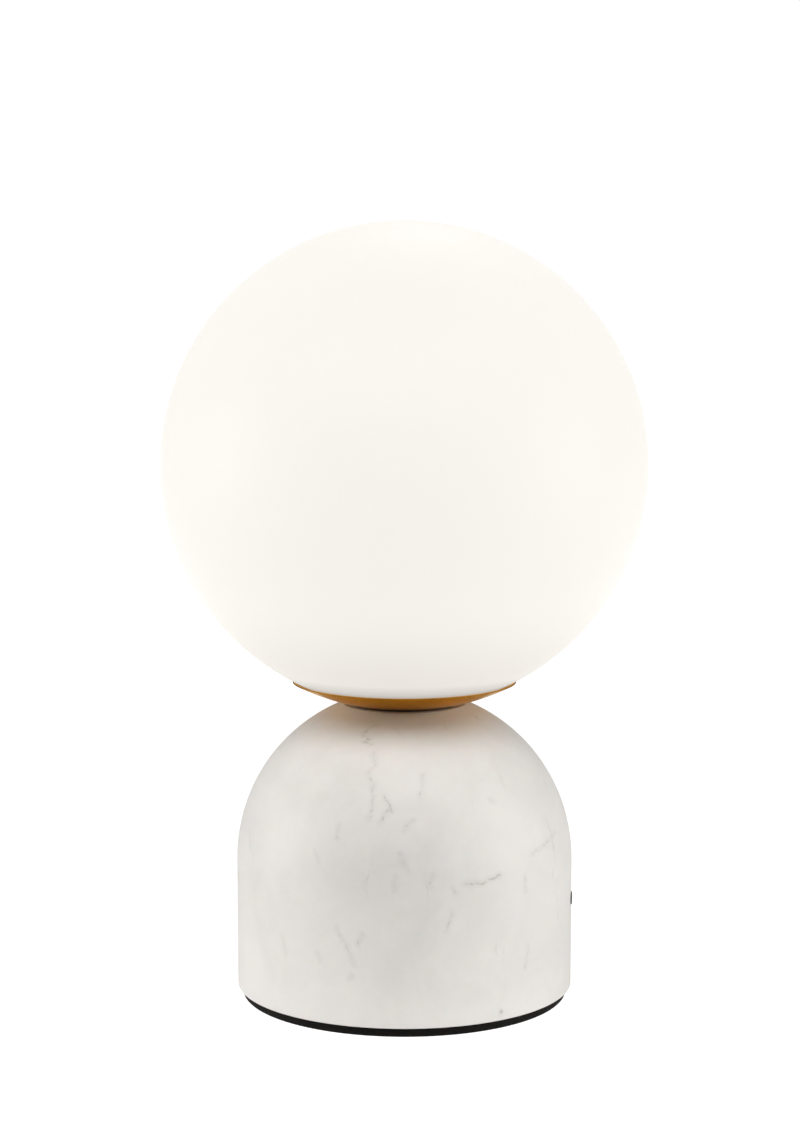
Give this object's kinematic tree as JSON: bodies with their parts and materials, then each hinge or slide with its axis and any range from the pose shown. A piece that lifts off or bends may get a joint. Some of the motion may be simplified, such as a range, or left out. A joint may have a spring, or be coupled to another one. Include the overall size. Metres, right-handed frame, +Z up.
{
  "type": "glass globe table lamp",
  "caption": "Table lamp: a satin opal glass globe resting in a shallow brass dish on a domed marble base, with a push button in the base's flank and a plug-in lamp under the globe.",
  "frame": {"origin": "centre of the underside, on the surface that the lamp stands on", "axes": "+Z up along the lamp's axis, +X towards the push button on the right flank, +Y towards the cord entry at the back"},
  "size_m": [0.2, 0.2, 0.3215],
  "materials": {
    "opal_glass": "satin opal, opaque white",
    "brass": "spun and polished",
    "marble": "honed white marble with faint grey veins",
    "pad_rubber": "fine-grained foam rubber",
    "dark_fibre": "pressed fibre",
    "silicone": "translucent, soft",
    "zinc_steel": "zinc plated",
    "spring_steel": "rolled",
    "ceramic": "unglazed",
    "white_plastic": "moulded",
    "black_plastic": "moulded",
    "frosted_cover": "frosted",
    "light_board": "coated board",
    "brown_sheath": "extruded",
    "blue_sheath": "extruded",
    "green_sheath": "extruded"
  },
  "bodies": {
    "base": {"marble_base": "marble", "base_pad": "pad_rubber", "cover_plate": "zinc_steel", "cover_screws": "zinc_steel", "threaded_inserts": "brass", "cord_bush": "black_plastic", "tie_tube": "zinc_steel", "lower_washer": "zinc_steel", "earth_lug": "brass", "lower_nut": "zinc_steel", "seat_washer": "dark_fibre", "brass_dish": "brass", "cushion_ring": "silicone", "spring_carrier": "zinc_steel", "spring_arms": "spring_steel", "arm_rivets": "zinc_steel", "upper_nut": "zinc_steel", "holder_locknut": "zinc_steel", "lampholder_cup": "zinc_steel", "lampholder_core": "ceramic", "holder_contacts": "brass", "holder_screws": "zinc_steel", "button_sleeve": "black_plastic", "button_spring": "spring_steel", "switch_body": "black_plastic", "switch_bush": "zinc_steel", "switch_nut": "zinc_steel", "switch_terminals": "brass", "switch_bracket": "zinc_steel", "bracket_rivets": "zinc_steel", "terminal_block": "white_plastic", "terminal_clamps": "brass", "clamp_screws": "zinc_steel", "block_screw": "zinc_steel", "live_wire": "brown_sheath", "neutral_wire": "blue_sheath", "switched_wire": "brown_sheath", "earth_wire": "green_sheath"},
    "globe": {"glass_globe": "opal_glass"},
    "lamp": {"lamp_base": "white_plastic", "lamp_pins": "zinc_steel", "lamp_cover": "frosted_cover", "lamp_board": "light_board"},
    "button": {"button_cap": "black_plastic", "switch_plunger": "white_plastic"}
  },
  "joints": [
    {"name": "globe_lift", "type": "slide", "parent": "base", "child": "globe", "axis": [0, 0, 1], "range_m": [0, 0.13]},
    {"name": "lamp_pull", "type": "slide", "parent": "base", "child": "lamp", "axis": [0, 0, 1], "range_m": [0, 0.03]},
    {"name": "button_press", "type": "slide", "parent": "base", "child": "button", "axis": [-1, 0, 0], "range_m": [0, 0.0012], "stiffness_N_per_m": 800, "springref_m": -0.0025, "deforming": ["button_spring"]}
  ]
}
